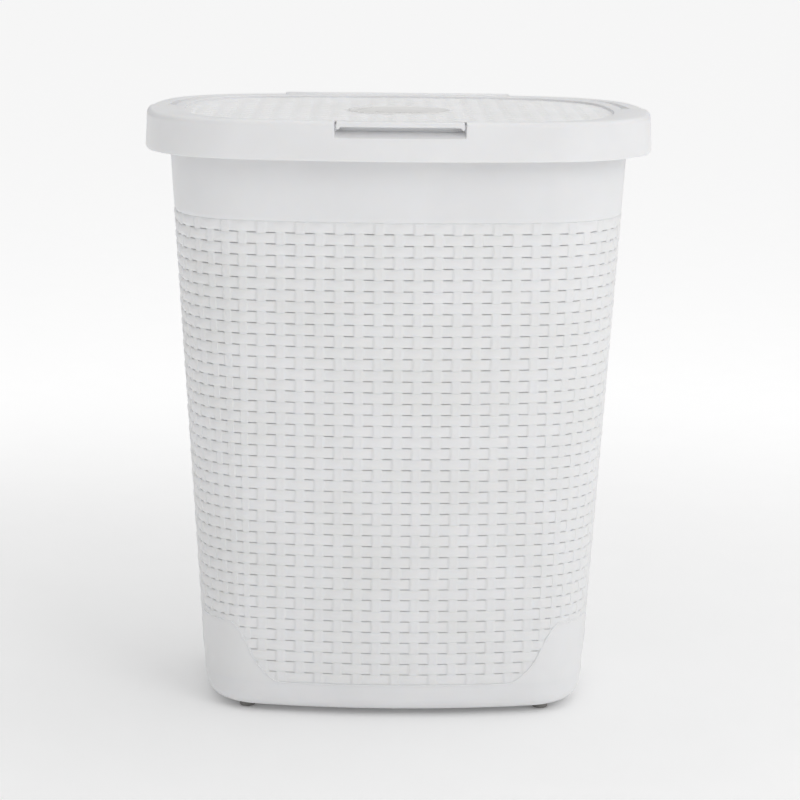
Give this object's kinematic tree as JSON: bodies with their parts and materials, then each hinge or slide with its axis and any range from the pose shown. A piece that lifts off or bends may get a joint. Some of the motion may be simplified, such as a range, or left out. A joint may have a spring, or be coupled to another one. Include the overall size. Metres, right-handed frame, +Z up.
{
  "type": "laundry hamper with lid",
  "caption": "White wicker-look laundry hamper: tapered tub on small feet, fixed collar round the back of the rim, and a hinged skirted lid with a finger grip.",
  "frame": {"origin": "on the floor under the centre of the hamper, at the bottom centre of its box", "axes": "+X to the right, -Y to the front where the finger grip is, +Z up"},
  "size_m": [0.448, 0.348, 0.5298],
  "materials": {
    "tub_plastic": "satin moulded polypropylene, white, wicker relief with fine slots",
    "rim_plastic": "satin moulded polypropylene, white",
    "badge_plastic": "semi-gloss moulded plastic, white",
    "pin_plastic": "smooth moulded acetal, white",
    "foot_rubber": "matt soft plastic, grey"
  },
  "bodies": {
    "hamper": {"tub": "tub_plastic", "rear_collar": "rim_plastic", "hinge_pin_left": "pin_plastic", "hinge_pin_right": "pin_plastic", "foot_front_left": "foot_rubber", "foot_front_right": "foot_rubber", "foot_rear_left": "foot_rubber", "foot_rear_right": "foot_rubber"},
    "lid": {"lid": "rim_plastic", "centre_badge": "badge_plastic"}
  },
  "joints": [
    {"name": "lid_hinge", "type": "hinge", "parent": "hamper", "child": "lid", "pos_m": [0, 0.155, 0.5253], "axis": [-1, 0, 0], "range_deg": [0, 105]}
  ]
}
